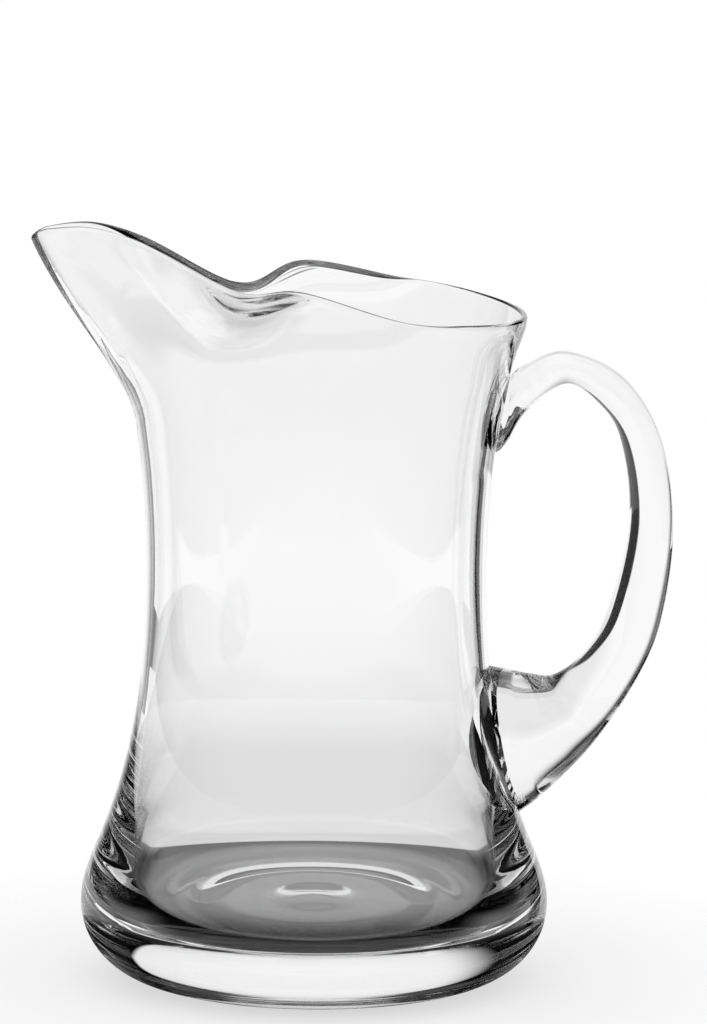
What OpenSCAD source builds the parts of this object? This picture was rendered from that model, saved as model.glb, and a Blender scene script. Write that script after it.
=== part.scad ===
// Glass pitcher: a blown body with a heavy base and a pulled pouring lip, and a handle drawn from
// one rod of hot glass that is welded to the wall at both ends.
// Millimetres, +Z up. The origin is the middle of the foot on the table.
// The lip points to -X and the handle to +X; the pitcher is the same on both sides of the XZ plane.

/* [Blown body] */
// Radius of the flat underside that the pitcher stands on
foot_r = 50; // [46:0.5:56]
// Radius of the base at its widest
base_r = 75.2; // [70:0.2:80]
// Height of the widest part of the base
base_h = 24.4; // [20:0.2:30]
// Radius of the flank above the base
flank_r = 69.6; // [66:0.1:72]
// Height at which the flank is measured
flank_h = 44; // [40:0.5:50]
// Change of radius with height on the flank
flank_slope = -0.42; // [-0.5:0.01:-0.3]
// Radius of the waist
waist_r = 54.5; // [50:0.5:58]
// Height of the waist
waist_h = 131; // [120:1:140]
// Radius of the rim on the handle side
rim_r = 66.6; // [62:0.2:70]
// Height of the rim on the handle side
rim_h = 214.4; // [205:0.2:220]
// Change of radius with height at the rim
rim_slope = 0.34; // [0.2:0.01:0.4]

/* [Inside of the body] */
// Glass thickness of the wall
wall_t = 3.7; // [3:0.1:4.5]
// Glass thickness of the rim on the handle side
rim_t = 2; // [1.6:0.1:3]
// Glass thickness of the rim at the pinches and along the lip
pinch_t = 3.3; // [2.6:0.1:4.2]
// Glass thickness of the floor
floor_t = 20; // [12:0.5:26]
// Radius of the level part of the floor
floor_r = 53; // [44:0.5:57]
// Inside radius where the wall starts above the floor
well_r = 61.3; // [58:0.1:63]
// Height at which the wall starts above the floor
well_h = 36; // [32:0.5:42]
// Change of inside radius with height where the wall starts
well_slope = -0.12; // [-0.3:0.01:-0.1]

/* [Pouring lip] */
// Height at which the lip starts to leave the round wall
lip_start_h = 165; // [150:1:172]
// Distance from the axis to the tip of the lip
lip_reach = 91.4; // [84:0.2:98]
// Height of the tip of the lip
tip_h = 237.6; // [230:0.2:246]
// Height of the crest just behind the tip
crest_h = 241.6; // [234:0.2:248]
// Half the width of the pouring channel
channel_half_w = 10; // [8:0.2:14]
// Half the width of the throat between the two pinches
throat_half_w = 12.4; // [11:0.2:18]
// Distance from the axis to the throat, towards the lip
throat_reach = 26; // [16:0.5:32]
// Height of the rim in the throat
throat_h = 223.2; // [216:0.2:228]
// Half the width of the mouth at the humps beside the pinches
hump_half_w = 43; // [38:0.5:52]
// Height of the humps
hump_h = 226.8; // [218:0.2:230]
// How far the rim has come in where it leaves the circle
side_draw = 1.6; // [0:0.2:4]
// Height of the rim where it leaves the circle
side_h = 218.2; // [212:0.2:222]

/* [Handle] */
// Room for the fingers between the waist and the grip
finger_room = 45.4; // [38:0.2:52]
// Glass thickness of the grip, in the plane of the handle
grip_t = 14.2; // [11:0.1:17]
// Width of the grip, across the plane of the handle
grip_w = 17; // [12:0.5:22]
// Height of the grip where it stands out furthest
grip_h = 146.5; // [138:0.5:156]
// Height of the top of the arch
arch_h = 203.4; // [199:0.2:210]
// Glass thickness of the arch
arch_t = 10.3; // [8:0.1:13]
// Lower edge of the pad on the wall
pad_low_h = 54; // [50:0.5:60]
// Upper edge of the pad on the wall
pad_high_h = 101.2; // [94:0.2:108]
// Width of the pad
pad_w = 36; // [30:0.5:42]
// Lower edge of the upper weld
weld_low_h = 170.5; // [168:0.5:177]
// Upper edge of the upper weld
weld_high_h = 195.4; // [191:0.2:200]
// Width of the upper weld
weld_w = 21; // [16:0.5:26]
// Glass thickness of the tail that runs out below the upper weld
tail_t = 4.2; // [2.6:0.2:6]
// How far the top of the pad dips before it turns up into the grip
pad_dip = 2.4; // [0:0.2:5]

/* [Hidden] */
// Gap that keeps the two solids from overlapping at the welds
weld_gap = 0.1;
// Step by which the many-sided lip wall starts inside the edges of the round wall
seam_step = 0.15;
// Steps around the lip, steps up the lip and steps around the rounded rim
turn_steps = 72;
lift_steps = 16;
bead_steps = 4;
// Steps along each curve of the round profile
curve_steps = 12;
// Steps along and around the handle
sweep_steps = 44;
section_steps = 32;
// Angles from the handle side at which the shapes of the rim follow each other
side_angle = 62;
hump_angle = 90;
throat_angle = 122;
channel_angle = 148;
crest_angle = 162;
cheek_angle = 174;
// Share of the wall's rise at which the lip bends out, and at which the pinches bend in
lip_bend = 0.22;
pinch_bend = 0.62;
// Powers of the two bends: the lip leans out early, the pinches turn in late
lip_power = 1.5;
pinch_power = 3;
// Room for the step of a slope measurement
tiny = 0.001;

// Plain blends
function mix(a, b, u) = a * (1 - u) + b * u;
function clamp(u) = max(0, min(1, u));
function ease(u) = let (v = clamp(u)) v * v * (3 - 2 * v);
function unit(v) = v / norm(v);

// Curve from value a to value b that leaves and arrives with the given slopes
function hermite(a, b, slope_a, slope_b, u) =
    (2 * pow(u, 3) - 3 * u * u + 1) * a + (pow(u, 3) - 2 * u * u + u) * slope_a
    + (3 * u * u - 2 * pow(u, 3)) * b + (pow(u, 3) - u * u) * slope_b;

// Curve between two stations [height, radius, slope] at height z
function between(low, high, z) =
    let (rise = high[0] - low[0])
    hermite(low[1], high[1], low[2] * rise, high[2] * rise, (z - low[0]) / rise);

// Smooth curve through rows [key, values...] at key k; the first and last row only steer it
function through(rows, k) =
    let (
        i = max([for (n = [1 : len(rows) - 3]) rows[n][0] <= k ? n : 1]),
        span = rows[i + 1][0] - rows[i][0],
        start = (rows[i + 1] - rows[i - 1]) * span / (rows[i + 1][0] - rows[i - 1][0]),
        end = (rows[i + 2] - rows[i]) * span / (rows[i + 2][0] - rows[i][0])
    )
    hermite(rows[i], rows[i + 1], start, end, (k - rows[i][0]) / span);

// Outside of the round body: stations, and the radius at height z above the widest part
base_station = [base_h, base_r, 0];
flank_station = [flank_h, flank_r, flank_slope];
waist_station = [waist_h, waist_r, 0];
rim_station = [rim_h, rim_r, rim_slope];
function outer_r(z) =
    z <= flank_h ? between(base_station, flank_station, z)
    : z <= waist_h ? between(flank_station, waist_station, z)
    : z <= rim_h ? between(waist_station, rim_station, z)
    : rim_r + (z - rim_h) * rim_slope;

// Inside of the round body above the well
well_station = [well_h, well_r, well_slope];
neck_station = [waist_h, waist_r - wall_t, 0];
function inner_r(z) = z <= waist_h ? between(well_station, neck_station, z) : outer_r(z) - wall_t;

// Heights in even steps, without the first
function heights(low, high) = [for (i = [1 : curve_steps]) mix(low, high, i / curve_steps)];

// Rounded lower edge of the base, from the foot to the widest part
edge_curve = [for (i = [0 : curve_steps]) let (a = 90 * i / curve_steps)
    [mix(foot_r, base_r, sin(a)), base_h * (1 - cos(a))]];
// Rounded corner of the well, from the wall down to the level floor
corner_reach = (well_r - floor_r) * 0.6;
corner_rise = (well_h - floor_t) * 0.6;
corner_curve = [for (i = [0 : curve_steps])
    let (u = i / curve_steps, v = 1 - u)
    pow(v, 3) * [well_r, well_h]
    + 3 * v * v * u * [well_r - well_slope * corner_rise, well_h - corner_rise]
    + 3 * v * u * u * [floor_r + corner_reach, floor_t]
    + pow(u, 3) * [floor_r, floor_t]];
outer_heights = concat(heights(base_h, flank_h), heights(flank_h, waist_h), heights(waist_h, lip_start_h));
inner_heights = concat(heights(lip_start_h, waist_h), heights(waist_h, well_h));
round_profile = concat(
    [[0, 0]],
    edge_curve,
    [for (z = outer_heights) [outer_r(z), z]],
    [[inner_r(lip_start_h), lip_start_h]],
    [for (z = inner_heights) [inner_r(z), z]],
    [for (i = [1 : curve_steps]) corner_curve[i]],
    [[0, floor_t]]
);

// Rim of the mouth on the near half, as rows [angle, x, y, z] from the handle side to the tip of the lip
function on_circle(angle, z) = [angle, outer_r(z) * cos(angle), outer_r(z) * sin(angle), z];
function along_lip(share) = -mix(throat_reach, lip_reach, share);
side_r = outer_r(side_h) - side_draw;
half_rim = [
    on_circle(0, rim_h),
    on_circle(side_angle * 0.36, mix(rim_h, side_h, 0.1)),
    on_circle(side_angle * 0.72, mix(rim_h, side_h, 0.52)),
    [side_angle, side_r * cos(side_angle), side_r * sin(side_angle), side_h],
    [hump_angle, -throat_reach / 6, hump_half_w, hump_h],
    [throat_angle, -throat_reach, throat_half_w, throat_h],
    [channel_angle, along_lip(0.46), channel_half_w, mix(throat_h, crest_h, 0.79)],
    [crest_angle, along_lip(0.71), channel_half_w * 0.92, crest_h],
    [cheek_angle, along_lip(0.93), channel_half_w * 0.52, mix(crest_h, tip_h, 0.4)],
    [180, -lip_reach, 0, tip_h]
];
function mirrored(row, angle) = [angle, row[1], -row[2], row[3]];
rim_rows = concat(
    [mirrored(half_rim[1], -half_rim[1][0])],
    half_rim,
    [mirrored(half_rim[len(half_rim) - 2], 360 - cheek_angle)]
);
function rim_point(angle) =
    let (p = through(rim_rows, angle <= 180 ? angle : 360 - angle))
    [p[1], angle <= 180 ? p[2] : -p[2], p[3]];

// Share of the way from the round wall to the rim at share u of the rise
function bend(angle, u) =
    let (
        lip = pow(clamp((u - lip_bend) / (1 - lip_bend)), lip_power),
        pinch = pow(clamp((u - pinch_bend) / (1 - pinch_bend)), pinch_power),
        from_tip = abs(180 - angle)
    )
    mix(lip, pinch, ease((from_tip - (180 - crest_angle)) / (crest_angle - throat_angle)));

// Outside of the wall between the round part and the rim
function lip_point(angle, u) =
    let (
        rim = rim_point(angle),
        z = mix(lip_start_h, rim[2], u),
        b = bend(angle, u),
        r = outer_r(z)
    )
    [mix(r * cos(angle), rim[0], b), mix(r * sin(angle), rim[1], b), z];

// Directions at a point of the wall: up along it, and out of it
function lip_up(angle, u) = unit(lip_point(angle, u) - lip_point(angle, u - tiny));
function lip_out(angle, u) =
    let (
        around = lip_point(angle + 90 * tiny, u) - lip_point(angle - 90 * tiny, u),
        level = [cos(angle), sin(angle), 0]
    )
    unit(mix(level, unit(cross(around, lip_up(angle, u))), ease(3 * u)));

// Rings of the lip wall: up the outside, over the rounded rim and down the inside
turn_angles = [for (k = [0 : turn_steps - 1]) 360 * k / turn_steps];
function lift_share(i) = 1 - pow(1 - i / lift_steps, 1.5);
function rim_glass(angle) =
    let (from_handle = 180 - abs(180 - angle))
    mix(rim_t, pinch_t, ease((from_handle - hump_angle) / (throat_angle - hump_angle)));
function seam_ring(r) = [for (angle = turn_angles) [r * cos(angle), r * sin(angle), lip_start_h]];
outside_rings = [for (i = [1 : lift_steps]) [for (angle = turn_angles) lip_point(angle, lift_share(i))]];
bead_rings = [for (i = [1 : bead_steps]) let (a = 180 * i / (bead_steps + 1))
    [for (angle = turn_angles)
        lip_point(angle, 1)
        + rim_glass(angle) / 2 * ((cos(a) - 1) * lip_out(angle, 1) + sin(a) * lip_up(angle, 1))]];
inside_rings = [for (i = [lift_steps : -1 : 1]) let (u = lift_share(i))
    [for (angle = turn_angles)
        lip_point(angle, u) - mix(wall_t, rim_glass(angle), u) * lip_out(angle, u)]];
lip_rings = concat(
    [seam_ring(outer_r(lip_start_h) - seam_step)],
    outside_rings,
    bead_rings,
    inside_rings,
    [seam_ring(inner_r(lip_start_h) + seam_step)]
);

// Closed skin over rings of equal length, the last ring joined to the first
module ring_skin(rings) {
    rows = len(rings);
    columns = len(rings[0]);
    points = [for (ring = rings) for (p = ring) p];
    faces = [for (i = [0 : rows - 1]) for (k = [0 : columns - 1])
        let (
            a = i * columns + k,
            b = i * columns + (k + 1) % columns,
            c = ((i + 1) % rows) * columns + (k + 1) % columns,
            d = ((i + 1) % rows) * columns + k
        )
        each [[a, d, c], [a, c, b]]];
    polyhedron(points, faces);
}

// Body of one piece of blown glass
module body() {
    color([0.86, 0.9, 0.9, 0.5]) {
        rotate_extrude($fn = 120) polygon(round_profile);
        ring_skin(lip_rings);
    }
}

// Handle: where the wall is at height z and distance y from the middle plane, with the gap of the weld
function wall_x(y, z) = sqrt(pow(outer_r(z) + weld_gap, 2) - y * y);

// Edges of the handle in its own plane: shares of the way out to the grip, on its inner and outer edge
grip_in = waist_r + finger_room;
grip_out = grip_in + grip_t;
function out_to_inner(share) = mix(waist_r, grip_in, share);
function out_to_outer(share) = mix(waist_r, grip_out, share);
arch_share = 0.54;
arch_low_h = arch_h - arch_t;
weld_low_r = outer_r(weld_low_h);
weld_high_r = outer_r(weld_high_h);
pad_low_r = outer_r(pad_low_h);
pad_high_r = outer_r(pad_high_h);

// Rows [place, inner x, inner z, outer x, outer z, half width]; the first and last only steer the ends
handle_rows = [
    [-1, mix(pad_high_r, waist_r, 4), pad_high_h,
        pad_low_r - pad_w / 3, pad_low_h - pad_w / 9, pad_w / 2],
    // pad on the wall
    [0, pad_high_r, pad_high_h,
        pad_low_r, pad_low_h, pad_w / 2],
    [1, out_to_inner(0.32), pad_high_h - pad_dip,
        out_to_outer(0.4), mix(pad_low_h, pad_high_h, 0.225), pad_w * 0.4],
    [2, out_to_inner(0.49), pad_high_h - pad_dip,
        out_to_outer(0.61), mix(pad_low_h, pad_high_h, 0.52), pad_w * 0.31],
    // heel, where the rod turns up
    [3, out_to_inner(0.7), mix(pad_high_h, grip_h, 0.11),
        out_to_outer(0.83), mix(pad_low_h, grip_h, 0.49), grip_w * 0.57],
    [4, out_to_inner(0.86), mix(pad_high_h, grip_h, 0.42),
        out_to_outer(0.945), mix(pad_low_h, grip_h, 0.69), grip_w * 0.52],
    // grip
    [5, grip_in, mix(grip_h, arch_h, 0.07),
        grip_out, grip_h, grip_w / 2],
    [6, out_to_inner(0.93), mix(grip_h, arch_h, 0.51),
        out_to_outer(0.93), mix(grip_h, arch_h, 0.505), grip_w / 2],
    [7, out_to_inner(0.77), mix(grip_h, arch_low_h, 0.87),
        out_to_outer(0.72), mix(grip_h, arch_h, 0.86), grip_w / 2],
    // arch
    [8, out_to_inner(arch_share), arch_low_h,
        out_to_outer(arch_share * 0.76), arch_h, grip_w * 0.47],
    [9, out_to_inner(0.27), mix(weld_low_h, arch_h, 0.42),
        out_to_outer(0.2), mix(weld_high_h, arch_h, 0.47), grip_w * 0.5],
    // tail and weld on the wall
    [10, weld_low_r + tail_t, weld_low_h + tail_t,
        weld_high_r + tail_t / 3, weld_high_h + tail_t / 4, weld_w * 0.48],
    [11, weld_low_r, weld_low_h,
        weld_high_r, weld_high_h, weld_w / 2],
    [12, weld_low_r - tail_t * 2, weld_low_h - tail_t / 4,
        weld_high_r - tail_t * 2, weld_high_h - tail_t, weld_w / 2]
];
pad_place = 0;
weld_place = 11;

function handle_ring(share) =
    let (row = through(handle_rows, share))
    [for (k = [0 : section_steps - 1])
        let (a = 360 * k / section_steps, along = (1 - cos(a)) / 2)
        [mix(row[1], row[3], along), -row[5] * sin(a), mix(row[2], row[4], along)]];

// End of the handle that lies on the wall, shrunk towards its middle
function seat_ring(share, shrink) =
    let (ring = handle_ring(share), mid_z = mix(ring[0][2], ring[section_steps / 2][2], 0.5))
    [for (p = ring) let (y = p[1] * shrink, z = mix(mid_z, p[2], shrink)) [wall_x(y, z), y, z]];

seat_shrinks = [0.05, 0.25, 0.5, 0.75, 1];
handle_rings = concat(
    [for (shrink = seat_shrinks) seat_ring(pad_place, shrink)],
    [for (i = [1 : sweep_steps - 1]) handle_ring(mix(pad_place, weld_place, i / sweep_steps))],
    [for (i = [len(seat_shrinks) - 1 : -1 : 0]) seat_ring(weld_place, seat_shrinks[i])]
);

// Closed skin over a row of rings with a flat lid on the first and the last
module capped_skin(rings) {
    rows = len(rings);
    columns = len(rings[0]);
    points = [for (ring = rings) for (p = ring) p];
    sides = [for (i = [0 : rows - 2]) for (k = [0 : columns - 1])
        let (
            a = i * columns + k,
            b = i * columns + (k + 1) % columns,
            c = (i + 1) * columns + (k + 1) % columns,
            d = (i + 1) * columns + k
        )
        each [[a, d, c], [a, c, b]]];
    first_lid = [for (k = [0 : columns - 1]) k];
    last_lid = [for (k = [columns - 1 : -1 : 0]) (rows - 1) * columns + k];
    polyhedron(points, concat(sides, [first_lid, last_lid]));
}

// Handle of one rod of glass
module handle() {
    color([0.86, 0.9, 0.9, 0.5]) capped_skin(handle_rings);
}

body();
handle();
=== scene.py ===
# %% [markdown]
# # A blown glass pitcher, built around its measured frame
# The pitcher is two pieces of clear glass. The body is one blown bubble with a heavy base, a waist and
# a lip that was pulled and pinched out of the hot rim. The handle is one rod of glass, pressed on low
# down, drawn up and out, and welded again under the rim. The measured model is loaded first, because
# it fixes every size, and each step then makes one finished piece in the same place.

# %% Load the measured frame
from functools import lru_cache
from math import atan2, cos, pi, radians, sin, sqrt

import bmesh
import bpy
from mathutils import Matrix, Vector


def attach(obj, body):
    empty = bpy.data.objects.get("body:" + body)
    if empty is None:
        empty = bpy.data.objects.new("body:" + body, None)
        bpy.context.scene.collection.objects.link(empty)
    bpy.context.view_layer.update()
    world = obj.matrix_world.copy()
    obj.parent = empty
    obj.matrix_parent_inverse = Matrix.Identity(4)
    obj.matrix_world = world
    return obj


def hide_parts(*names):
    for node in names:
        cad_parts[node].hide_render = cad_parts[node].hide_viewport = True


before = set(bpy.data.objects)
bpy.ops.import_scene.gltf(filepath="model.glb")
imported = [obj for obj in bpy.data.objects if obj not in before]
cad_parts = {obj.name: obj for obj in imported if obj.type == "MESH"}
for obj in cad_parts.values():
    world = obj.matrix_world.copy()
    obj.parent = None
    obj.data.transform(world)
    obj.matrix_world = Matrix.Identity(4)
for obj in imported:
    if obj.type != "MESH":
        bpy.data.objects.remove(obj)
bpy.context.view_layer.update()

# %% [markdown]
# ## Curves that glass likes
# Hot glass has no corners, so every outline here is a soft curve. A curve could be a Bezier object, but
# a short formula gives the radius at any height, which later steps need again. Two kinds are enough:
# one runs between two stations with known slopes, the other runs smoothly through a row of places.

# %% Curves
def mix(a, b, share):
    return a * (1 - share) + b * share


def hold(share):
    return min(1.0, max(0.0, share))


def ease(share):
    held = hold(share)
    return held * held * (3 - 2 * held)


def cubic(a, b, slope_a, slope_b, share):
    """Value on the way from a to b, leaving and arriving with the given slopes."""
    square, cube = share ** 2, share ** 3
    leaving = a * (2 * cube - 3 * square + 1) + slope_a * (cube - 2 * square + share)
    arriving = b * (3 * square - 2 * cube) + slope_b * (cube - square)
    return leaving + arriving


def between(low, high, height):
    """Radius at a height between two stations (height, radius, slope)."""
    rise = high[0] - low[0]
    return cubic(low[1], high[1], low[2] * rise, high[2] * rise, (height - low[0]) / rise)


def through(rows, key):
    """Smooth curve through rows that start with their key; the first and last row only steer it."""
    i = max(n for n in range(1, len(rows) - 2) if n == 1 or rows[n][0] <= key)
    before, start, end, after = rows[i - 1:i + 3]
    span = end[0] - start[0]
    leaving = (end - before) * (span / (end[0] - before[0]))
    arriving = (after - start) * (span / (after[0] - start[0]))
    return cubic(start, end, leaving, arriving, (key - start[0]) / span)


print("halfway along an eased step:", ease(0.5))

# %% [markdown]
# ## The round body
# Before its lip is pulled, a blown pitcher is round. Four stations carry the outside: the widest part of
# the base, the flank above it, the waist and the flared rim. The inside follows the wall down to the
# well and turns into a level floor, with a thick lens of glass left below it.

# %% Sizes of the round body
foot_r, base_r, base_h = 0.050, 0.0752, 0.0244
flank_r, flank_h, flank_slope = 0.0696, 0.044, -0.42
waist_r, waist_h = 0.0545, 0.131
rim_r, rim_h, rim_slope = 0.0666, 0.2144, 0.34
wall_t, pinch_t, rim_t = 0.0037, 0.0033, 0.0020
floor_t, floor_r = 0.020, 0.053
well_r, well_h, well_slope = 0.0613, 0.036, -0.12

base_station = (base_h, base_r, 0)
flank_station = (flank_h, flank_r, flank_slope)
waist_station = (waist_h, waist_r, 0)
rim_station = (rim_h, rim_r, rim_slope)
well_station = (well_h, well_r, well_slope)
neck_station = (waist_h, waist_r - wall_t, 0)


def outer_r(height):
    """Outside radius of the round body above the widest part of the base."""
    if height <= flank_h:
        return between(base_station, flank_station, height)
    if height <= waist_h:
        return between(flank_station, waist_station, height)
    if height <= rim_h:
        return between(waist_station, rim_station, height)
    return rim_r + (height - rim_h) * rim_slope


def inner_r(height):
    """Inside radius of the round body above the well."""
    if height <= waist_h:
        return between(well_station, neck_station, height)
    return outer_r(height) - wall_t


print("outside radius at the waist", outer_r(waist_h), "and at the rim", outer_r(rim_h))

# %% [markdown]
# ## The pulled lip
# The maker heats one side of the rim, pulls it out into a spout and pinches the rim in on both sides,
# which leaves a narrow throat with a hump beside it. The rim is therefore a closed curve in space, here
# given by a few places on one half and mirrored. Between the round wall and that curve the glass bends:
# early and slowly under the spout, late and sharply at the pinches. The pinching tool leaves its mark
# on the outside there: a shallow pad below the rim, pressed in by less than a millimetre, with ridges.

# %% Sizes of the lip
lip_start_h, lip_reach, tip_h, crest_h = 0.165, 0.0914, 0.2376, 0.2416
channel_half_w, throat_half_w = 0.010, 0.0124
throat_reach, throat_h = 0.026, 0.2232
hump_half_w, hump_h = 0.043, 0.2268
side_draw, side_h = 0.0016, 0.2182
side_angle, hump_angle, throat_angle = radians(62), radians(90), radians(122)
channel_angle, crest_angle, cheek_angle = radians(148), radians(162), radians(174)


def on_circle(angle, height):
    """Row of the rim that still lies on the round wall: angle, x, y and z."""
    radius = outer_r(height)
    return Vector((angle, radius * cos(angle), radius * sin(angle), height))


def along_lip(share):
    """Place along x at a share of the way from the throat to the tip of the lip."""
    return -mix(throat_reach, lip_reach, share)


def mirrored(row, angle):
    return Vector((angle, row[1], -row[2], row[3]))


side_r = outer_r(side_h) - side_draw
half_rim = [
    on_circle(0, rim_h),
    on_circle(side_angle * 0.36, mix(rim_h, side_h, 0.1)),
    on_circle(side_angle * 0.72, mix(rim_h, side_h, 0.52)),
    Vector((side_angle, side_r * cos(side_angle), side_r * sin(side_angle), side_h)),
    Vector((hump_angle, -throat_reach / 6, hump_half_w, hump_h)),
    Vector((throat_angle, -throat_reach, throat_half_w, throat_h)),
    Vector((channel_angle, along_lip(0.46), channel_half_w, mix(throat_h, crest_h, 0.79))),
    Vector((crest_angle, along_lip(0.71), channel_half_w * 0.92, crest_h)),
    Vector((cheek_angle, along_lip(0.93), channel_half_w * 0.52, mix(crest_h, tip_h, 0.4))),
    Vector((pi, -lip_reach, 0, tip_h)),
]
rim_rows = [mirrored(half_rim[1], -half_rim[1][0])] + half_rim
rim_rows.append(mirrored(half_rim[-2], 2 * pi - cheek_angle))
print("rim drawn through", len(half_rim), "places on each half")


# %% Outside of the lip
lip_bend, lip_power = 0.22, 1.5
pinch_bend, pinch_power = 0.62, 3


@lru_cache(maxsize=None)
def rim_point(angle):
    """Outside edge of the rim, at an angle from the handle side."""
    row = through(rim_rows, abs(angle))
    return Vector((row[1], row[2] if angle >= 0 else -row[2], row[3]))


def lip_point(angle, rise):
    """Outside of the wall at a share of the rise from the round wall to the rim."""
    rim = rim_point(angle)
    lip = hold((rise - lip_bend) / (1 - lip_bend)) ** lip_power
    pinch = hold((rise - pinch_bend) / (1 - pinch_bend)) ** pinch_power
    off_spout = (crest_angle - abs(angle)) / (crest_angle - throat_angle)
    bend = mix(lip, pinch, ease(off_spout))
    height = mix(lip_start_h, rim.z, rise)
    radius = outer_r(height)
    return Vector((
        mix(radius * cos(angle), rim.x, bend),
        mix(radius * sin(angle), rim.y, bend),
        height,
    ))


print("tip of the lip", lip_point(pi, 1))

# %% Mark of the pinching tool
mark_angle, mark_reach, mark_drop = radians(109), radians(22), 0.095
mark_depth, mark_ridges = 0.0003, 2
mark_shallow, ridge_crest, mark_fade = 0.25, 0.4, 0.12


def mark_share(angle):
    """How far down the tool's mark reaches, as a share of its deepest place."""
    return max(0.0, 1 - ((abs(angle) - mark_angle) / mark_reach) ** 2)


def mark_rise(angle, rise):
    """Moves the rows of the mark so that they follow its lower edge."""
    low = 1 - mark_drop * mix(mark_shallow, 1, mark_share(angle))
    if rise < 1 - mark_drop:
        return low * rise / (1 - mark_drop)
    return mix(low, 1, (rise - 1 + mark_drop) / mark_drop)


def tool_mark(angle, rise):
    """How deep the tool pressed the outside: steep at each ridge, then slowly back."""
    share = (rise - 1 + mark_drop) / mark_drop
    if share <= 0:
        return 0
    ridge = share * mark_ridges % 1
    pressed = ease(ridge / ridge_crest) * (1 - ease((ridge - ridge_crest) / (1 - ridge_crest)))
    return mark_depth * pressed * ease(2 * mark_share(angle)) * ease((1 - share) / mark_fade)


print("the mark reaches down by", mark_drop, "of the lip's rise")

# %% Glass of the lip
tiny = 0.0005


def lip_glass(angle):
    """Thickness of the rim, which is thicker where the glass was pinched and pulled."""
    return mix(rim_t, pinch_t, ease((abs(angle) - hump_angle) / (throat_angle - hump_angle)))


def lip_place(angle, rise, depth, crown):
    """Place in the glass of the lip: depth runs through the wall, crown rounds the rim."""
    pressed = tool_mark(angle, rise) * (1 - depth)
    rise = mix(mark_rise(angle, rise), rise, depth)
    place = lip_point(angle, rise)
    up = (place - lip_point(angle, rise - tiny)).normalized()
    ahead, behind = min(angle + tiny, pi), max(angle - tiny, -pi)
    around = lip_point(ahead, rise) - lip_point(behind, rise)
    level = Vector((cos(angle), sin(angle), 0))
    out = level.lerp(around.cross(up).normalized(), ease(3 * rise)).normalized()
    glass = mix(wall_t, lip_glass(angle), rise)
    return place - out * (depth * glass + pressed) + up * crown * glass


print("rim thickness at the handle", lip_glass(0), "and at the tip", lip_glass(pi))

# %% [markdown]
# ## Spinning the body
# A glass blower turns the pipe all the time, so the body is a profile turned about its axis. Spin makes
# the same shape from half a section: underside, rounded edge, outside wall, rim, inside wall and floor.
# The underside rises to its middle in two low, soft steps, which show as bright arcs through the floor.
# Each point of the upper wall carries three marks, and after the spin every marked point is pulled to
# its place in the lip, as the maker does it with a hot rim.

# %% Underside, edge and well of the section
curve_steps, floor_steps = 20, 60
corner_pull = 0.6
floor_shares = (0.97, 0.9, 0.75, 0.5, 0.25, 0)
# low steps of the hollow under the base: radius, width and rise of each
punt_steps = ((0.036, 0.018, 0.0020), (0.010, 0.016, 0.0014))


def punt_h(radius):
    """Height of the hollow under the base, which rises to its middle in low, soft steps."""
    return sum(rise * ease((place - radius) / width + 0.5) for place, width, rise in punt_steps)


def edge_point(share):
    """Rounded lower edge, from the underside to the widest part of the base."""
    turn = share * pi / 2
    return mix(foot_r, base_r, sin(turn)), base_h * (1 - cos(turn))


def corner_point(share):
    """Rounded corner of the well, from the wall to the level floor."""
    reach, drop = (well_r - floor_r) * corner_pull, (well_h - floor_t) * corner_pull
    places = [
        Vector((well_r, well_h)),
        Vector((well_r - well_slope * drop, well_h - drop)),
        Vector((floor_r + reach, floor_t)),
        Vector((floor_r, floor_t)),
    ]
    while len(places) > 1:
        places = [a.lerp(b, share) for a, b in zip(places, places[1:])]
    return tuple(places[0])


shares = [n / curve_steps for n in range(curve_steps + 1)]
under_radii = [foot_r * n / floor_steps for n in range(floor_steps)]
underside = [(radius, punt_h(radius)) for radius in under_radii]
lower_edge = [edge_point(share) for share in shares]
well_corner = [corner_point(share) for share in shares[1:]]
level_floor = [(floor_r * share, floor_t) for share in floor_shares]
print("hollow under the base is", punt_h(0), "m high")

# %% Walls of the section
low_rows, wall_rows, neck_rows = 12, 26, 12


def heights(low, high, steps):
    return [mix(low, high, n / steps) for n in range(1, steps + 1)]


outside_heights = heights(base_h, flank_h, low_rows)
outside_heights += heights(flank_h, waist_h, wall_rows)
outside_heights += heights(waist_h, lip_start_h, neck_rows)
inside_heights = [lip_start_h]
inside_heights += heights(lip_start_h, waist_h, neck_rows)
inside_heights += heights(waist_h, well_h, wall_rows)
low_outside = underside + lower_edge + [(outer_r(z), z) for z in outside_heights]
low_inside = [(inner_r(z), z) for z in inside_heights] + well_corner + level_floor
print("round part of", len(low_outside), "points outside and", len(low_inside), "inside")

# %% Marks of the lip's points
lift_steps, mark_steps, bead_steps = 36, 30, 7
rim_crowding = 1.5


def lift_share(n):
    """Share of the rise at step n, with the steps closer together towards the rim."""
    return 1 - (1 - n / lift_steps) ** rim_crowding


inside_rises = [lift_share(n) for n in range(1, lift_steps + 1)]
outside_rises = [rise for rise in inside_rises if rise < 1 - mark_drop]
outside_rises += [1 - mark_drop * (1 - n / mark_steps) for n in range(mark_steps + 1)]
bead_turns = [pi * n / (bead_steps + 1) for n in range(1, bead_steps + 1)]
lip_marks = [(rise, 0, 0) for rise in outside_rises]
lip_marks += [(1, (1 - cos(turn)) / 2, sin(turn) / 2) for turn in bead_turns]
lip_marks += [(rise, 1, 0) for rise in reversed(inside_rises)]
print("lip of", len(lip_marks), "points")


# %% Spin the body and pull its lip
turn_steps = 264
merge_gap = 1e-6


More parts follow.
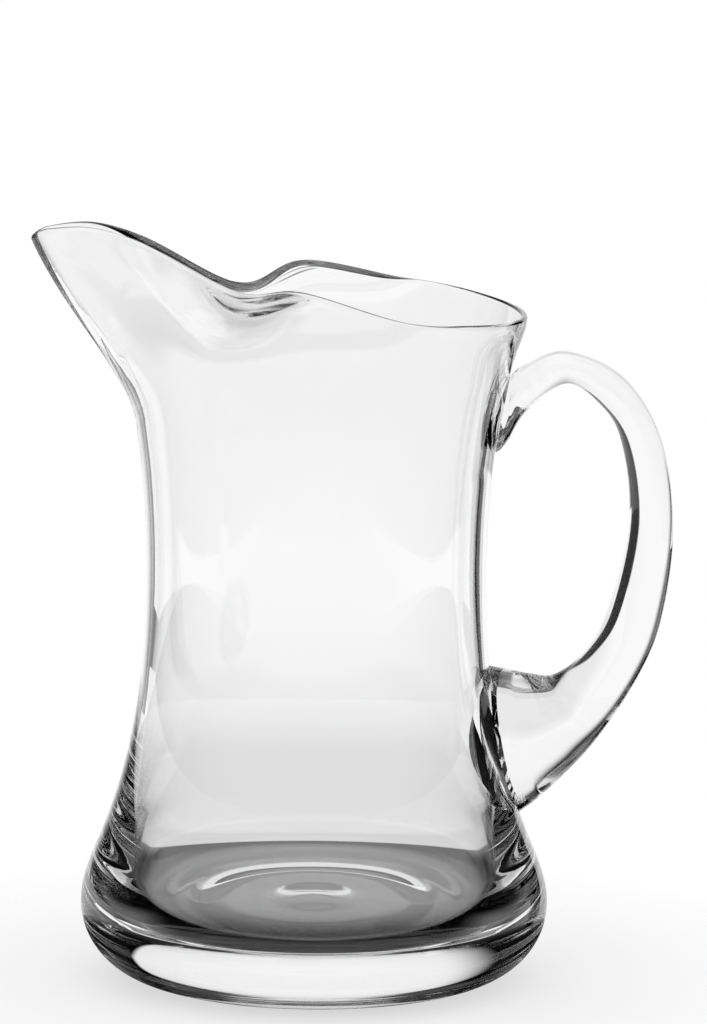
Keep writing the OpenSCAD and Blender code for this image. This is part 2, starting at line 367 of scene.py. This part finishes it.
def add_piece(name, bm):
    """Turns a finished bmesh into a smooth-shaded piece of the scene."""
    bmesh.ops.recalc_face_normals(bm, faces=bm.faces)
    for face in bm.faces:
        face.smooth = True
    mesh = bpy.data.meshes.new(name)
    bm.to_mesh(mesh)
    bm.free()
    piece = bpy.data.objects.new(name, mesh)
    bpy.context.scene.collection.objects.link(piece)
    return piece


def make_body():
    """Half section, spun once around, with the marked points pulled to the lip."""
    bm = bmesh.new()
    marks = [bm.verts.layers.float.new(name) for name in ("rise", "depth", "crown")]
    for radius, height in low_outside:
        bm.verts.new((radius, 0, height))
    for mark in lip_marks:
        point = bm.verts.new(lip_place(0, *mark))
        for layer, value in zip(marks, mark):
            point[layer] = value
    for radius, height in low_inside:
        bm.verts.new((radius, 0, height))
    section = list(bm.verts)
    edges = [bm.edges.new(pair) for pair in zip(section, section[1:])]
    bmesh.ops.spin(
        bm, geom=section + edges, cent=(0, 0, 0), axis=(0, 0, 1),
        angle=2 * pi, steps=turn_steps, use_merge=True,
    )
    bmesh.ops.remove_doubles(bm, verts=bm.verts, dist=merge_gap)
    for vert in bm.verts:
        mark = [vert[layer] for layer in marks]
        if mark[0] > 0:
            angle = round(atan2(vert.co.y, vert.co.x), 6)
            vert.co = lip_place(max(-pi, min(pi, angle)), *mark)
    return add_piece("blown_body", bm)


blown_body = make_body()
print("body of", len(blown_body.data.polygons), "faces")

# %% [markdown]
# ## Drawing the handle
# The handle starts as a hot rod. Its thick end is pressed on the wall as a wide pad, the rod is drawn
# up and out to a rounded grip, and its thin end is brought back under the rim and stuck to the wall.
# It is made as rings along that path, each a circle squeezed to the section it has there, with
# neighbours bridged. Pressing squeezes some glass out sideways, so each end has a thin skirt on the
# wall. The ends follow the round wall and are sunk in by less than half a millimetre.

# %% Sizes of the handle
finger_room, grip_t, grip_w, grip_h = 0.0454, 0.0142, 0.017, 0.1465
arch_h, arch_t, arch_share = 0.2034, 0.0103, 0.54
pad_low_h, pad_high_h, pad_w, pad_dip = 0.054, 0.1012, 0.036, 0.0024
weld_low_h, weld_high_h, weld_w, tail_t = 0.1705, 0.1954, 0.021, 0.0042
grip_in = waist_r + finger_room
grip_out = grip_in + grip_t
arch_low_h = arch_h - arch_t
bend_h = pad_high_h - pad_dip
pad_low_r, pad_high_r = outer_r(pad_low_h), outer_r(pad_high_h)
weld_low_r, weld_high_r = outer_r(weld_low_h), outer_r(weld_high_h)
print("grip stands", grip_in, "to", grip_out, "m from the axis")

# %% Stations along the handle
pad_place, weld_place = 0, 11


def station(place, inner, outer, half_width):
    """Row of the handle: its place, the inner and the outer edge as (x, z), and half its width."""
    return Vector((place, *inner, *outer, half_width))


def to_inner(share):
    return mix(waist_r, grip_in, share)


def to_outer(share):
    return mix(waist_r, grip_out, share)


handle_rows = [
    station(-1, (mix(pad_high_r, waist_r, 4), pad_high_h),
            (pad_low_r - pad_w / 3, pad_low_h - pad_w / 9), pad_w / 2),
    station(pad_place, (pad_high_r, pad_high_h), (pad_low_r, pad_low_h), pad_w / 2),
    station(1, (to_inner(0.32), bend_h),
            (to_outer(0.4), mix(pad_low_h, pad_high_h, 0.225)), pad_w * 0.4),
    station(2, (to_inner(0.49), bend_h),
            (to_outer(0.61), mix(pad_low_h, pad_high_h, 0.52)), pad_w * 0.31),
    station(3, (to_inner(0.7), mix(pad_high_h, grip_h, 0.11)),
            (to_outer(0.83), mix(pad_low_h, grip_h, 0.49)), grip_w * 0.57),
    station(4, (to_inner(0.86), mix(pad_high_h, grip_h, 0.42)),
            (to_outer(0.945), mix(pad_low_h, grip_h, 0.69)), grip_w * 0.52),
    station(5, (grip_in, mix(grip_h, arch_h, 0.07)), (grip_out, grip_h), grip_w / 2),
    station(6, (to_inner(0.93), mix(grip_h, arch_h, 0.51)),
            (to_outer(0.93), mix(grip_h, arch_h, 0.505)), grip_w / 2),
    station(7, (to_inner(0.77), mix(grip_h, arch_low_h, 0.87)),
            (to_outer(0.72), mix(grip_h, arch_h, 0.86)), grip_w / 2),
    station(8, (to_inner(arch_share), arch_low_h),
            (to_outer(arch_share * 0.76), arch_h), grip_w * 0.47),
    station(9, (to_inner(0.27), mix(weld_low_h, arch_h, 0.42)),
            (to_outer(0.2), mix(weld_high_h, arch_h, 0.47)), grip_w * 0.5),
    station(10, (weld_low_r + tail_t, weld_low_h + tail_t),
            (weld_high_r + tail_t / 3, weld_high_h + tail_t / 4), weld_w * 0.48),
    station(weld_place, (weld_low_r, weld_low_h), (weld_high_r, weld_high_h), weld_w / 2),
    station(12, (weld_low_r - tail_t * 2, weld_low_h - tail_t / 4),
            (weld_high_r - tail_t * 2, weld_high_h - tail_t), weld_w / 2),
]
print("handle drawn through", len(handle_rows) - 2, "stations")

# %% Ends of the handle
# how far the skirt of each end runs out sideways, and its thickness beside the rod
pad_skirt, weld_skirt = (0.0145, 0.0017), (0.0075, 0.0009)
skirt_low = 0.15
weld_sink = 0.0004


def ring_matrix(place):
    """Turns a unit circle into the section of the handle at a place along it."""
    row = through(handle_rows, place)
    inner, outer = Vector((row[1], 0, row[2])), Vector((row[3], 0, row[4]))
    reach, width = (outer - inner) / 2, Vector((0, row[5], 0))
    along = reach.cross(width).normalized()
    middle = (inner + outer) / 2
    columns = [reach.to_4d(), width.to_4d(), along.to_4d(), middle.to_4d()]
    for column in columns[:3]:
        column.w = 0
    return Matrix(columns).transposed()


def lay_skirt(ring, reach, lift, share):
    """Lays a ring between the thin edge of the skirt, at share 0, and the thick rod, at share 1."""
    half = max(vert.co.y for vert in ring)
    widen = 1 + reach / half * (1 - share)
    rise = lift * share
    for vert in ring:
        side = mix(skirt_low, 1, (vert.co.y / half) ** 2)
        y = vert.co.y * widen
        vert.co.x = sqrt((outer_r(vert.co.z) + rise * side) ** 2 - y * y)
        vert.co.y = y


def lay_seat(ring, shrink):
    """Lays a ring on the round wall, shrunk towards its middle and sunk in a little."""
    middle = sum((vert.co.z for vert in ring)) / len(ring)
    for vert in ring:
        y, z = vert.co.y * shrink, mix(middle, vert.co.z, shrink)
        vert.co = (sqrt((outer_r(z) - weld_sink) ** 2 - y * y), y, z)


print("skirts run out by", pad_skirt[0], "and", weld_skirt[0], "m")

# %% Bridge the rings of the handle
sweep_steps, section_steps, skirt_steps = 120, 96, 6
seat_shrinks = (0.1, 0.4, 0.7, 1)
# rings of an end, from the middle of its seat to the rod: share of the skirt, and shrink on the seat
end_steps = [(0, shrink) for shrink in seat_shrinks]
end_steps += [(n / skirt_steps, None) for n in range(skirt_steps + 1)]


def add_ring(bm, place):
    """Ring of the handle at a place along it."""
    circle = bmesh.ops.create_circle(bm, segments=section_steps, radius=1, matrix=ring_matrix(place))
    return circle["verts"]


def end_ring(bm, place, skirt, share, shrink):
    """Ring of one end, laid on its skirt and, if it has a shrink, on the seat."""
    ring = add_ring(bm, place)
    lay_skirt(ring, *skirt, share)
    if shrink is not None:
        lay_seat(ring, shrink)
    return ring


def make_handle():
    """Rings from the pad to the upper weld, bridged and closed at both seats."""
    bm = bmesh.new()
    rings = [end_ring(bm, pad_place, pad_skirt, *step) for step in end_steps]
    for n in range(1, sweep_steps - 1):
        rings.append(add_ring(bm, mix(pad_place, weld_place, n / sweep_steps)))
    rings += [end_ring(bm, weld_place, weld_skirt, *step) for step in reversed(end_steps)]
    loops = [[bm.edges.get(pair) for pair in zip(ring, ring[1:] + ring[:1])] for ring in rings]
    first_clear = len(seat_shrinks)
    last_clear = len(rings) - 1 - len(seat_shrinks)
    for n, (loop, following) in enumerate(zip(loops, loops[1:])):
        bridge = bmesh.ops.bridge_loops(bm, edges=loop + following)
        for face in bridge["faces"]:
            face.material_index = 0 if first_clear <= n < last_clear else 1
    for loop in (loops[0], loops[-1]):
        for face in bmesh.ops.edgeloop_fill(bm, edges=loop)["faces"]:
            face.material_index = 1
    for n in (first_clear, first_clear + skirt_steps, last_clear - skirt_steps, last_clear):
        for edge in loops[n]:
            edge.smooth = False
    return add_piece("drawn_handle", bm)


drawn_handle = make_handle()
print("handle of", len(drawn_handle.data.polygons), "faces")

# %% [markdown]
# ## Glass
# Soda-lime glass is clear, bends light by about one and a half and has a faint grey in thick places.
# The surface of blown glass is never flat: it has slow waves from the blowing, and the handle has lines
# from the drawing. A stretched noise pattern bends the surface a very little. A second, finer one gives
# patches of faint haze, as washing leaves it. The weld between the two pieces is fused, so the faces in
# it must not bend light at all and are left fully clear.

# %% Helpers for materials
def add_node(tree, kind, **values):
    node = tree.nodes.new(kind)
    for name, value in values.items():
        node.inputs[name.replace("_", " ")].default_value = value
    return node


def calc(tree, operation, *values):
    """Math node on numbers or on other nodes' outputs."""
    node = tree.nodes.new("ShaderNodeMath")
    node.operation = operation
    for socket, value in zip(node.inputs, values):
        if isinstance(value, (int, float)):
            socket.default_value = value
        else:
            tree.links.new(value, socket)
    return node.outputs["Value"]


def slope(tree, value, dark, light):
    """Soft step from 0 where the value is dark to 1 where it is light."""
    node = add_node(tree, "ShaderNodeMapRange", From_Min=dark, From_Max=light)
    node.interpolation_type = "SMOOTHSTEP"
    tree.links.new(value, node.inputs["Value"])
    return node.outputs["Result"]


print("helpers for materials ready")

# %% Glass materials
glass_tint, glass_ior = (0.995, 0.998, 0.996), 1.5
film_size, film_rough = 0.018, 0.02
film_clear, film_full = 0.52, 0.72


def make_glass(name, wave_size, wave_height, stretch):
    """Clear glass with slow waves and patches of faint haze."""
    material = bpy.data.materials.new(name)
    material.use_nodes = True
    tree = material.node_tree
    glass = tree.nodes["Principled BSDF"]
    glass.inputs["Base Color"].default_value = (*glass_tint, 1)
    glass.inputs["Transmission Weight"].default_value = 1
    glass.inputs["IOR"].default_value = glass_ior
    places = add_node(tree, "ShaderNodeTexCoord")
    drawn = add_node(tree, "ShaderNodeMapping", Scale=stretch)
    waves = add_node(tree, "ShaderNodeTexNoise", Scale=1 / wave_size, Detail=1.0)
    film = add_node(tree, "ShaderNodeTexNoise", Scale=1 / film_size, Detail=3.0)
    bump = add_node(tree, "ShaderNodeBump", Strength=1.0, Distance=wave_height)
    tree.links.new(places.outputs["Object"], drawn.inputs["Vector"])
    tree.links.new(drawn.outputs["Vector"], waves.inputs["Vector"])
    tree.links.new(places.outputs["Object"], film.inputs["Vector"])
    patches = slope(tree, film.outputs["Fac"], film_clear, film_full)
    tree.links.new(calc(tree, "MULTIPLY", patches, film_rough), glass.inputs["Roughness"])
    tree.links.new(waves.outputs["Fac"], bump.inputs["Height"])
    tree.links.new(bump.outputs["Normal"], glass.inputs["Normal"])
    return material


def make_weld():
    """Fully clear faces inside the fused weld."""
    material = bpy.data.materials.new("fused_weld")
    material.use_nodes = True
    material.node_tree.nodes["Principled BSDF"].inputs["Alpha"].default_value = 0
    return material


clear_glass = make_glass("clear_glass", wave_size=0.05, wave_height=0.00002, stretch=(1, 1, 2))
handle_glass = make_glass("handle_glass", wave_size=0.02, wave_height=0.00004, stretch=(1, 1, 0.3))
fused_weld = make_weld()
for piece, glass in ((blown_body, clear_glass), (drawn_handle, handle_glass)):
    piece.data.materials.append(glass)
    piece.data.materials.append(fused_weld)
print("materials of the handle:", [material.name for material in drawn_handle.data.materials])

# %% [markdown]
# ## Fusing the weld
# The hot handle melts into the wall, so the wall has a shallow seat where each end sits. The seat could
# be modelled by hand, but a Boolean cuts it with the handle itself, so the two always fit, and the cut
# faces take the clear weld from the handle.

# %% Cut the seats
sharp_angle = radians(40)


def cut_seats(piece, cutter):
    boolean = piece.modifiers.new("seats", "BOOLEAN")
    boolean.operation = "DIFFERENCE"
    boolean.solver = "EXACT"
    boolean.object = cutter
    evaluated = piece.evaluated_get(bpy.context.evaluated_depsgraph_get())
    mesh = bpy.data.meshes.new_from_object(evaluated)
    piece.modifiers.clear()
    piece.data = mesh


cut_seats(blown_body, drawn_handle)
blown_body.data.set_sharp_from_angle(angle=sharp_angle)
print("body with seats:", len(blown_body.data.polygons), "faces")

# %% [markdown]
# ## Riding on the frame
# Each finished piece stands for its measured node and moves with it. The pitcher has no joint, so both
# pieces ride on the one root body.

# %% Ride on the frame
rides = ((blown_body, "body", "clear_glass"), (drawn_handle, "handle", "handle_glass"))
for piece, node, slot in rides:
    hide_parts(node)
    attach(piece, "root")

# %% [markdown]
# ## Table
# Clear glass has no colour of its own: it shows what stands around it. The camera sees a plain white
# table with a faint shadow. The glass sees the same table glowing with painted light and shade: a
# painted shadow close to the pitcher, painted light behind it, pale farther out and one dark wedge of
# painted shade at the back on the handle's side. Lamps and cards could do this, but they would stand
# in the way of other views, so the material holds it.

# %% Light of the table
# painted light of the table behind the pitcher
lit_y, lit_far_y, lit_bend, lit_level, lit_soft = 0.09, 0.44, 2, 0.74, 0.002
# painted light under the pitcher, inside its painted shadow and brighter to the back
painted_under_light, under_back, under_front = 0.15, -0.008, -0.038
under_x_in, under_x_out = 0.066, 0.082
# painted shadow of the pitcher out to the first radius, bright table from the second
painted_shadow_r, bright_r, bright_level, side_share = 0.08, 0.12, 0.85, 0.45
# dark wedge of painted shade on the table, at the back on the handle's side
flag_x, flag_near, flag_far = 0.11, 0.414, 1.0
flag_near_soft, flag_far_soft = 0.006, 0.01


def table_light(tree, places):
    """Painted light of the table at each place: painted shadow around the pitcher, painted light behind it
    and pale far out.
    """
    across = tree.nodes.new("ShaderNodeSeparateXYZ")
    tree.links.new(places, across.inputs["Vector"])
    x, y = across.outputs["X"], across.outputs["Y"]
    square = calc(tree, "MULTIPLY", x, x)
    beside = calc(tree, "MULTIPLY", square, side_share)
    radius = calc(tree, "SQRT", calc(tree, "ADD", beside, calc(tree, "MULTIPLY", y, y)))
    # painted light under the pitcher, brighter to the back
    under = calc(tree, "MULTIPLY", slope(tree, y, under_front, under_back), painted_under_light)
    under = calc(tree, "MULTIPLY", under, slope(tree, square, under_x_out ** 2, under_x_in ** 2))
    # painted shadow around the pitcher, paler beyond it
    far = calc(tree, "MULTIPLY", slope(tree, radius, painted_shadow_r, bright_r), bright_level)
    # painted light of the table behind the pitcher
    bent = calc(tree, "MULTIPLY_ADD", square, lit_bend, y)
    behind = calc(tree, "MULTIPLY", slope(tree, bent, lit_y - lit_soft, lit_y + lit_soft), lit_level)
    behind = calc(tree, "MULTIPLY_ADD", slope(tree, bent, lit_y, lit_far_y), 1 - lit_level, behind)
    light = calc(tree, "MAXIMUM", behind, calc(tree, "MAXIMUM", under, far))
    return calc(tree, "MULTIPLY", light, calc(tree, "SUBTRACT", 1, painted_shade_flag(tree, x, y)))


def painted_shade_flag(tree, x, y):
    """Dark wedge of painted shade on the table between two slanted lines."""
    near_line = calc(tree, "MULTIPLY_ADD", y, -flag_near, x)
    far_line = calc(tree, "MULTIPLY_ADD", y, -flag_far, x)
    near_side = slope(tree, near_line, flag_x - flag_near_soft, flag_x + flag_near_soft)
    far_side = slope(tree, far_line, flag_x + flag_far_soft, flag_x - flag_far_soft)
    return calc(tree, "MULTIPLY", near_side, far_side)


print("table is lit from", lit_y, "m behind the axis")

# %% Table
table_gap, table_half = 0.0003, 0.8
table_colour = (0.97, 0.97, 0.97, 1)
shade_r, clear_r, shade_share = 0.10, 0.19, 0.35


def add_sheet(name, half, matrix):
    """Flat square sheet of the studio, which is no part of the pitcher."""
    bm = bmesh.new()
    bmesh.ops.create_grid(bm, x_segments=1, y_segments=1, size=half, matrix=matrix)
    mesh = bpy.data.meshes.new(name)
    bm.to_mesh(mesh)
    bm.free()
    sheet = bpy.data.objects.new(name, mesh)
    bpy.context.scene.collection.objects.link(sheet)
    return sheet


def make_table_white():
    """Matt white with a faint shadow for the camera, and a glowing sheet of painted light and shadow as
    the glass sees it.
    """
    material = bpy.data.materials.new("table_painted_light")
    material.use_nodes = True
    material.cycles.emission_sampling = "NONE"
    tree = material.node_tree
    matt = tree.nodes["Principled BSDF"]
    matt.inputs["Base Color"].default_value = table_colour
    matt.inputs["Roughness"].default_value = 1
    matt.inputs["Specular IOR Level"].default_value = 0
    places = tree.nodes.new("ShaderNodeTexCoord")
    distance = tree.nodes.new("ShaderNodeVectorMath")
    distance.operation = "LENGTH"
    tree.links.new(places.outputs["Object"], distance.inputs[0])
    white = tree.nodes.new("ShaderNodeEmission")
    soft = add_node(tree, "ShaderNodeMixShader", Fac=shade_share)
    clear = tree.nodes.new("ShaderNodeBsdfTransparent")
    seen = tree.nodes.new("ShaderNodeMixShader")
    glow = tree.nodes.new("ShaderNodeEmission")
    rays = tree.nodes.new("ShaderNodeLightPath")
    both = tree.nodes.new("ShaderNodeMixShader")
    tree.links.new(white.outputs["Emission"], soft.inputs[1])
    tree.links.new(matt.outputs["BSDF"], soft.inputs[2])
    tree.links.new(slope(tree, distance.outputs["Value"], shade_r, clear_r), seen.inputs["Fac"])
    tree.links.new(soft.outputs["Shader"], seen.inputs[1])
    tree.links.new(clear.outputs["BSDF"], seen.inputs[2])
    tree.links.new(table_light(tree, places.outputs["Object"]), glow.inputs["Strength"])
    tree.links.new(rays.outputs["Is Camera Ray"], both.inputs["Fac"])
    tree.links.new(glow.outputs["Emission"], both.inputs[1])
    tree.links.new(seen.outputs["Shader"], both.inputs[2])
    tree.links.new(both.outputs["Shader"], tree.nodes["Material Output"].inputs["Surface"])
    return material


table = add_sheet("table", table_half, Matrix.Translation((0, 0, -table_gap)))
table.data.materials.append(make_table_white())
print("table of", 2 * table_half, "m")

# %% [markdown]
# ## Backdrop
# Behind the pitcher hangs one white sheet, so light that comes straight through the wall is white. Its
# edges fade out, because a hard edge would show as a line in the glass. Only the glass sees it.

# %% Backdrop
backdrop_y, backdrop_half, backdrop_mid_h = 0.44, 0.33, 0.17
left_dark, left_light = -0.33, -0.15
right_dark, right_light = 0.30, 0.272
top_dark, top_light = 0.5, 0.25
backdrop_level = 0.96


def make_backdrop_white():
    """Sheet of light that fades out to both sides and to the top."""
    material = bpy.data.materials.new("backdrop_white")
    material.use_nodes = True
    material.cycles.emission_sampling = "NONE"
    tree = material.node_tree
    tree.nodes.remove(tree.nodes["Principled BSDF"])
    places = tree.nodes.new("ShaderNodeTexCoord")
    across = tree.nodes.new("ShaderNodeSeparateXYZ")
    glow = tree.nodes.new("ShaderNodeEmission")
    tree.links.new(places.outputs["Object"], across.inputs["Vector"])
    left = slope(tree, across.outputs["X"], left_dark, left_light)
    right = slope(tree, across.outputs["X"], right_dark, right_light)
    top = slope(tree, across.outputs["Z"], top_dark, top_light)
    light = calc(tree, "MULTIPLY", calc(tree, "MULTIPLY", left, right), top)
    tree.links.new(calc(tree, "MULTIPLY", light, backdrop_level), glow.inputs["Strength"])
    tree.links.new(glow.outputs["Emission"], tree.nodes["Material Output"].inputs["Surface"])
    return material


upright = Matrix.Translation((0, backdrop_y, backdrop_mid_h)) @ Matrix.Rotation(pi / 2, 4, "X")
backdrop = add_sheet("backdrop", backdrop_half, upright)
backdrop.data.materials.append(make_backdrop_white())
backdrop.visible_camera = False
backdrop.visible_diffuse = False
backdrop.visible_shadow = False
print("backdrop stands at", backdrop_y, "m")

# %% [markdown]
# ## Room
# Light that was bent far to the side comes from the dark room and draws the black edges of the glass. The
# world holds that room and looks at the direction of each ray: nearly black all around, white below the
# table's edge, bright in front low down and bright overhead and high behind, which lights the arcs in the
# floor. The camera and the table's matt surface see plain white instead.

# %% Room
room_level = 0.004
top_level, front_level, zenith_level = 0.08, 0.95, 0.8
# each pair: where the light starts and where it is full, as a lift above the horizon, a turn away from
# the direction behind the pitcher, or a share of that direction
top_lift, top_behind = (radians(32), radians(44)), (0.45, 0.3)
front_turn, front_lift = (radians(75), radians(150)), (radians(8), radians(-14))
below_lift = (radians(-9), radians(-15))
high_lift, high_turn = (radians(36), radians(44)), (radians(40), radians(25))
zenith_lift = (radians(58), radians(70))


def room_light(tree, x, y, z):
    """Light of the room in each direction."""
    lift = calc(tree, "ARCSINE", z)
    turn = calc(tree, "ABSOLUTE", calc(tree, "ARCTAN2", x, y))
    above = calc(tree, "MULTIPLY", slope(tree, lift, *top_lift), slope(tree, y, *top_behind))
    front = calc(tree, "MULTIPLY", slope(tree, turn, *front_turn), slope(tree, lift, *front_lift))
    high = calc(tree, "MULTIPLY", slope(tree, lift, *high_lift), slope(tree, turn, *high_turn))
    high = calc(tree, "MAXIMUM", high, slope(tree, lift, *zenith_lift))
    light = calc(tree, "MAXIMUM", slope(tree, lift, *below_lift), room_level)
    for part, level in ((above, top_level), (front, front_level), (high, zenith_level)):
        light = calc(tree, "MAXIMUM", light, calc(tree, "MULTIPLY", part, level))
    return light


def make_room():
    """World of the dark room, with plain white for the camera and for matt surfaces."""
    world = bpy.data.worlds.new("studio")
    world.use_nodes = True
    tree = world.node_tree
    direction = tree.nodes.new("ShaderNodeSeparateXYZ")
    places = tree.nodes.new("ShaderNodeTexCoord")
    tree.links.new(places.outputs["Generated"], direction.inputs["Vector"])
    light = room_light(tree, *(direction.outputs[axis] for axis in "XYZ"))
    rays = tree.nodes.new("ShaderNodeLightPath")
    plain = calc(tree, "MAXIMUM", rays.outputs["Is Camera Ray"], rays.outputs["Is Diffuse Ray"])
    background = tree.nodes["Background"]
    background.inputs["Color"].default_value = (1, 1, 1, 1)
    tree.links.new(calc(tree, "MAXIMUM", light, plain), background.inputs["Strength"])
    return world


bpy.context.scene.world = make_room()
print("room level", room_level)

# %% [markdown]
# ## Camera
# The camera stands far away with a long lens and looks down a little, so the rim shows as a flat oval.
# Light crosses many walls of glass on its way, so it is followed for many bounces.

# %% Camera
camera_place, camera_lens, sensor_w, clip_end = (0.0117, -2.300, 0.5132), 255.86, 36, 20
camera_pitch, camera_roll = radians(8.952), radians(0.482)
bounces = 24

camera_data = bpy.data.cameras.new("camera")
camera_data.sensor_width = sensor_w
camera_data.lens = camera_lens
camera_data.clip_end = clip_end
camera = bpy.data.objects.new("camera", camera_data)
bpy.context.scene.collection.objects.link(camera)
camera.matrix_world = (
    Matrix.Translation(camera_place)
    @ Matrix.Rotation(pi / 2 - camera_pitch, 4, "X")
    @ Matrix.Rotation(camera_roll, 4, "Z")
)
bpy.context.scene.camera = camera
bpy.context.scene.view_settings.view_transform = "Standard"
bpy.context.scene.cycles.caustics_refractive = False
bpy.context.scene.cycles.caustics_reflective = False
bpy.context.scene.cycles.max_bounces = bounces
bpy.context.scene.cycles.transmission_bounces = bounces
bpy.context.scene.cycles.glossy_bounces = bounces
print("camera stands at", camera_place)
